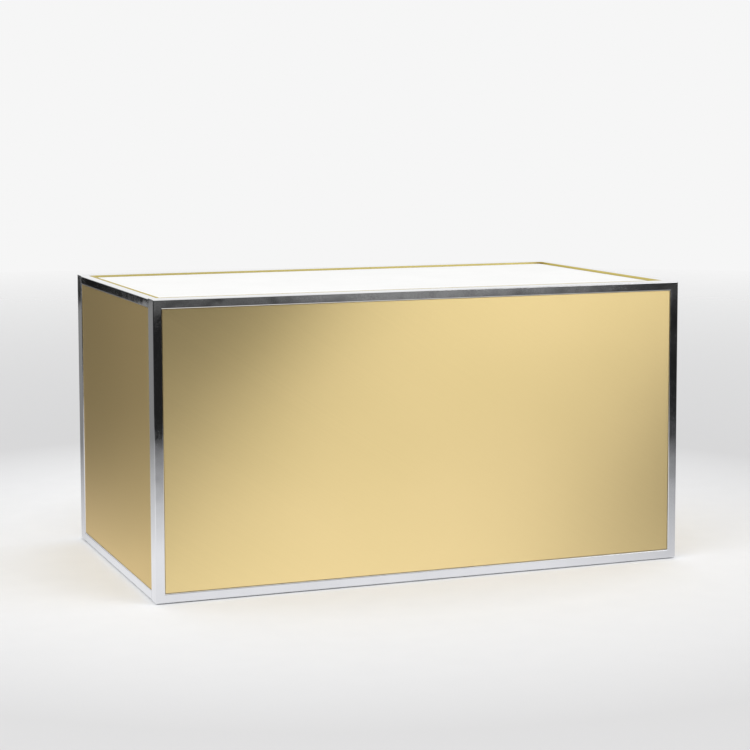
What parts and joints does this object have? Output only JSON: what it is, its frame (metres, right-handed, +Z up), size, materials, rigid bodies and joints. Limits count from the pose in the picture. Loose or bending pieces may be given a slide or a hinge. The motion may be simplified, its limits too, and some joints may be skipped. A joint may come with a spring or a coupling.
{
  "type": "wedding card box",
  "caption": "Rectangular card box with a polished metal tube frame, satin gold panels, a lift-off white top and a card slot in the back.",
  "frame": {"origin": "centre of the underside, on the plane the pads stand on", "axes": "+X along the length, -Y towards the front, +Z up"},
  "size_m": [0.61, 0.356, 0.318],
  "materials": {
    "frame_steel": "mirror polished",
    "gold_panel": "satin gold, hairline brushed on a slant",
    "gold_liner": "satin gold",
    "white_top": "plain white gloss",
    "floor_board": "matte white",
    "ledge_steel": "dull, as rolled",
    "angle_aluminium": "mill finish",
    "screw_steel": "bright zinc",
    "pad_rubber": "matte"
  },
  "bodies": {
    "box": {"front_top_rail": "frame_steel", "front_bottom_rail": "frame_steel", "front_left_post": "frame_steel", "front_right_post": "frame_steel", "back_top_rail": "frame_steel", "back_bottom_rail": "frame_steel", "back_left_post": "frame_steel", "back_right_post": "frame_steel", "left_top_rail": "frame_steel", "left_bottom_rail": "frame_steel", "right_top_rail": "frame_steel", "right_bottom_rail": "frame_steel", "front_panel": "gold_panel", "back_panel": "gold_panel", "left_panel": "gold_panel", "right_panel": "gold_panel", "floor_panel": "floor_board", "front_liner": "gold_liner", "back_liner": "gold_liner", "left_liner": "gold_liner", "right_liner": "gold_liner", "front_lid_ledge": "ledge_steel", "back_lid_ledge": "ledge_steel", "left_lid_ledge": "ledge_steel", "right_lid_ledge": "ledge_steel", "front_floor_ledge": "ledge_steel", "back_floor_ledge": "ledge_steel", "left_floor_ledge": "ledge_steel", "right_floor_ledge": "ledge_steel", "front_angles": "angle_aluminium", "back_angles": "angle_aluminium", "left_angles": "angle_aluminium", "right_angles": "angle_aluminium", "front_screws": "screw_steel", "back_screws": "screw_steel", "left_screws": "screw_steel", "right_screws": "screw_steel", "floor_screws": "screw_steel", "pads": "pad_rubber"},
    "lid": {"lid_panel": "white_top"}
  },
  "joints": [
    {"name": "lid_lift", "type": "slide", "parent": "box", "child": "lid", "axis": [0, 0, 1], "range_m": [0, 0.15]}
  ]
}
